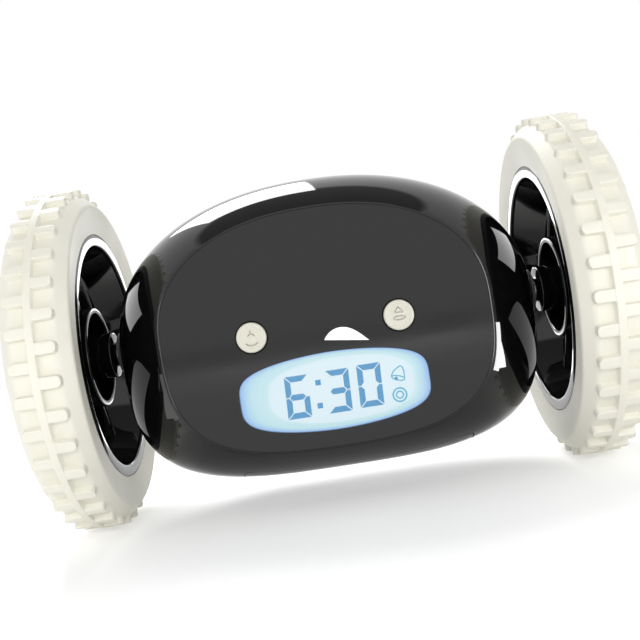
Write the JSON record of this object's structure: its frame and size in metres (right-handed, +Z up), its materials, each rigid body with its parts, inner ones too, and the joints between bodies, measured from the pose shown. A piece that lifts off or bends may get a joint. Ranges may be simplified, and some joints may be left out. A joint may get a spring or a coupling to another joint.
{
  "type": "runaway alarm clock",
  "caption": "Digital alarm clock with a rounded black body slung on an axle between big cream treaded wheels, which drive it away when it rings.",
  "frame": {"origin": "on the floor under the middle of the axle, midway between the wheels", "axes": "+X along the axle to the right of someone facing the clock, -Y out of the face, +Z up"},
  "size_m": [0.1446, 0.089, 0.089],
  "materials": {
    "shell_black": "gloss",
    "face_grey": "satin",
    "tyre_cream": "satin",
    "hub_black": "gloss",
    "button_cream": "satin",
    "window_clear": "gloss",
    "lcd_glass": "gloss",
    "backlight_white": "satin",
    "lens_white": "gloss",
    "holder_white": "matte",
    "board_green": "satin",
    "switch_dark": "satin",
    "tray_dark": "matte",
    "steel": "satin",
    "motor_can": "satin",
    "brass": "satin",
    "gear_white": "satin",
    "frame_grey": "matte",
    "cell_wrap": "satin",
    "speaker_dark": "matte"
  },
  "bodies": {
    "body": {"front_shell": "shell_black", "rear_shell": "shell_black", "face_panel": "face_grey", "lcd_window": "window_clear", "lcd_panel": "lcd_glass", "backlight": "backlight_white", "lcd_frame": "holder_white", "indicator_lens": "lens_white", "main_board": "board_green", "board_screws": "steel", "eye_switches": "switch_dark", "snooze_board": "board_green", "snooze_switch": "switch_dark", "rear_board": "board_green", "rear_switches": "switch_dark", "wheel_switch_body": "switch_dark", "speaker": "speaker_dark", "battery_tray": "tray_dark", "battery_cells": "cell_wrap", "battery_contacts": "steel", "shell_screws": "steel", "gearbox_screws": "steel", "left_axle_bush": "switch_dark", "left_idler_pin": "steel", "left_motor": "motor_can", "left_gearbox_frame": "frame_grey", "right_axle_bush": "switch_dark", "right_idler_pin": "steel", "right_motor": "motor_can", "right_gearbox_frame": "frame_grey"},
    "left_wheel": {"left_tyre": "tyre_cream", "left_hub": "hub_black", "left_hubcap": "hub_black", "left_axle": "steel", "left_axle_screw": "steel", "left_output_gear": "gear_white"},
    "left_idler": {"left_idler_gear": "gear_white"},
    "left_rotor": {"left_motor_shaft": "steel", "left_motor_pinion": "brass"},
    "left_eye": {"left_eye_button": "button_cream"},
    "right_wheel": {"right_tyre": "tyre_cream", "right_hub": "hub_black", "right_hubcap": "hub_black", "right_axle": "steel", "right_axle_screw": "steel", "right_output_gear": "gear_white"},
    "right_idler": {"right_idler_gear": "gear_white"},
    "right_rotor": {"right_motor_shaft": "steel", "right_motor_pinion": "brass"},
    "right_eye": {"right_eye_button": "button_cream"},
    "snooze": {"snooze_button": "shell_black"},
    "hour_key": {"hour_button": "button_cream"},
    "minute_key": {"minute_button": "button_cream"},
    "delay_key": {"delay_button": "button_cream"},
    "wheel_switch": {"wheel_switch_knob": "button_cream"},
    "battery_cover": {"battery_door": "shell_black", "battery_door_screw": "steel"}
  },
  "joints": [
    {"name": "left_wheel_spin", "type": "hinge", "parent": "body", "child": "left_wheel", "pos_m": [-0.0642, 0, 0.0445], "axis": [1, 0, 0], "continuous": true},
    {"name": "left_idler_spin", "type": "hinge", "parent": "body", "child": "left_idler", "pos_m": [-0.0335, 0.01003, 0.05645], "axis": [1, 0, 0], "continuous": true},
    {"name": "left_motor_spin", "type": "hinge", "parent": "body", "child": "left_rotor", "pos_m": [-0.031, -0.00317, 0.06048], "axis": [1, 0, 0], "continuous": true},
    {"name": "left_eye_press", "type": "slide", "parent": "body", "child": "left_eye", "axis": [0, 1, 0], "range_m": [0, 0.0008], "stiffness_N_per_m": 500, "springref_m": -0.0004},
    {"name": "right_wheel_spin", "type": "hinge", "parent": "body", "child": "right_wheel", "pos_m": [0.0642, 0, 0.0445], "axis": [1, 0, 0], "continuous": true},
    {"name": "right_idler_spin", "type": "hinge", "parent": "body", "child": "right_idler", "pos_m": [0.0335, 0.01003, 0.05645], "axis": [1, 0, 0], "continuous": true},
    {"name": "right_motor_spin", "type": "hinge", "parent": "body", "child": "right_rotor", "pos_m": [0.031, -0.00317, 0.06048], "axis": [1, 0, 0], "continuous": true},
    {"name": "right_eye_press", "type": "slide", "parent": "body", "child": "right_eye", "axis": [0, 1, 0], "range_m": [0, 0.0008], "stiffness_N_per_m": 500, "springref_m": -0.0004},
    {"name": "snooze_press", "type": "slide", "parent": "body", "child": "snooze", "axis": [0, 0, -1], "range_m": [0, 0.001], "stiffness_N_per_m": 500, "springref_m": -0.0006},
    {"name": "hour_press", "type": "slide", "parent": "body", "child": "hour_key", "axis": [0, -1, 0], "range_m": [0, 0.0008], "stiffness_N_per_m": 500, "springref_m": -0.0004},
    {"name": "minute_press", "type": "slide", "parent": "body", "child": "minute_key", "axis": [0, -1, 0], "range_m": [0, 0.0008], "stiffness_N_per_m": 500, "springref_m": -0.0004},
    {"name": "delay_press", "type": "slide", "parent": "body", "child": "delay_key", "axis": [0, -1, 0], "range_m": [0, 0.0008], "stiffness_N_per_m": 500, "springref_m": -0.0004},
    {"name": "wheel_switch_slide", "type": "slide", "parent": "body", "child": "wheel_switch", "axis": [1, 0, 0], "range_m": [-0.002, 0.002]},
    {"name": "battery_door_off", "type": "slide", "parent": "body", "child": "battery_cover", "axis": [0, 0, -1], "range_m": [0, 0.02]}
  ],
  "couplings": [
    {"joint": "left_idler_spin", "follows": "left_wheel_spin", "ratio": -3.3333},
    {"joint": "left_motor_spin", "follows": "left_wheel_spin", "ratio": 12},
    {"joint": "right_idler_spin", "follows": "right_wheel_spin", "ratio": -3.3333},
    {"joint": "right_motor_spin", "follows": "right_wheel_spin", "ratio": 12}
  ]
}
